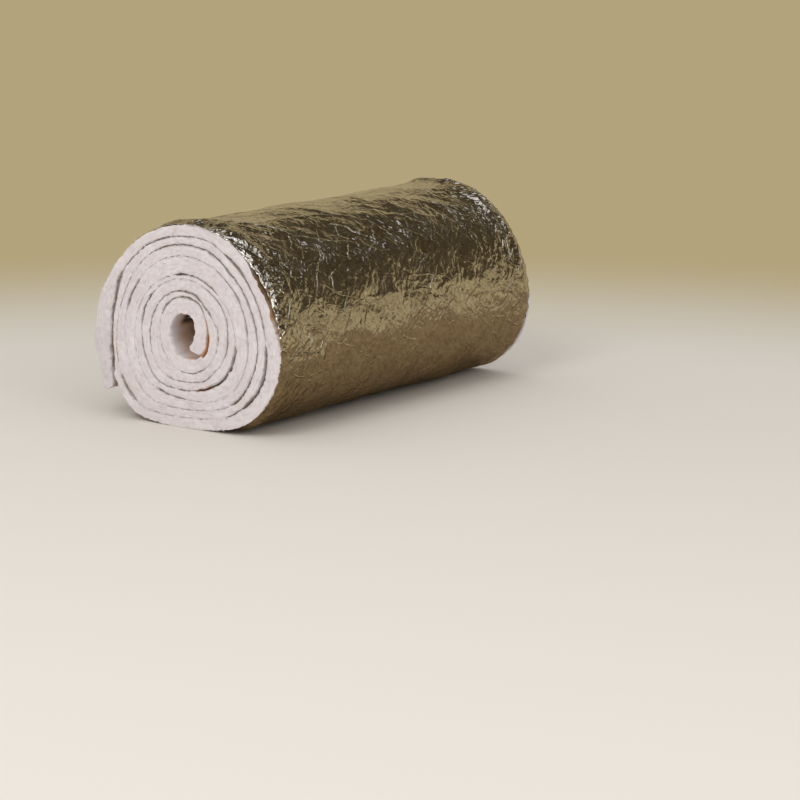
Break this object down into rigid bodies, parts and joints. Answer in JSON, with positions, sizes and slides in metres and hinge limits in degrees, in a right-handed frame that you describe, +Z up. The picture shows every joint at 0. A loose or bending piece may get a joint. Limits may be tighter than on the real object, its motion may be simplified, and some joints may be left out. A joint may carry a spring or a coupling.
{
  "type": "insulation roll",
  "caption": "Glass-wool blanket with a thin foil facing, wound into a roll that lies on its side, with an open bore, turns that show on both ends and a loose outer tail",
  "frame": {"origin": "centre of the bounding box's base, on the floor", "axes": "+Z up, the roll's axis along Y, the end with the loose outer tail on the left at -Y, +X to the right of that end"},
  "size_m": [0.3372, 0.61, 0.2875],
  "materials": {
    "glass_wool": "soft pale pinkish-white glass wool with loose fibres on its cut faces",
    "foil": "thin crinkled aluminium foil on kraft paper"
  },
  "bodies": {
    "root": {"wool_blanket": "glass_wool", "foil_facing": "foil"}
  },
  "joints": []
}
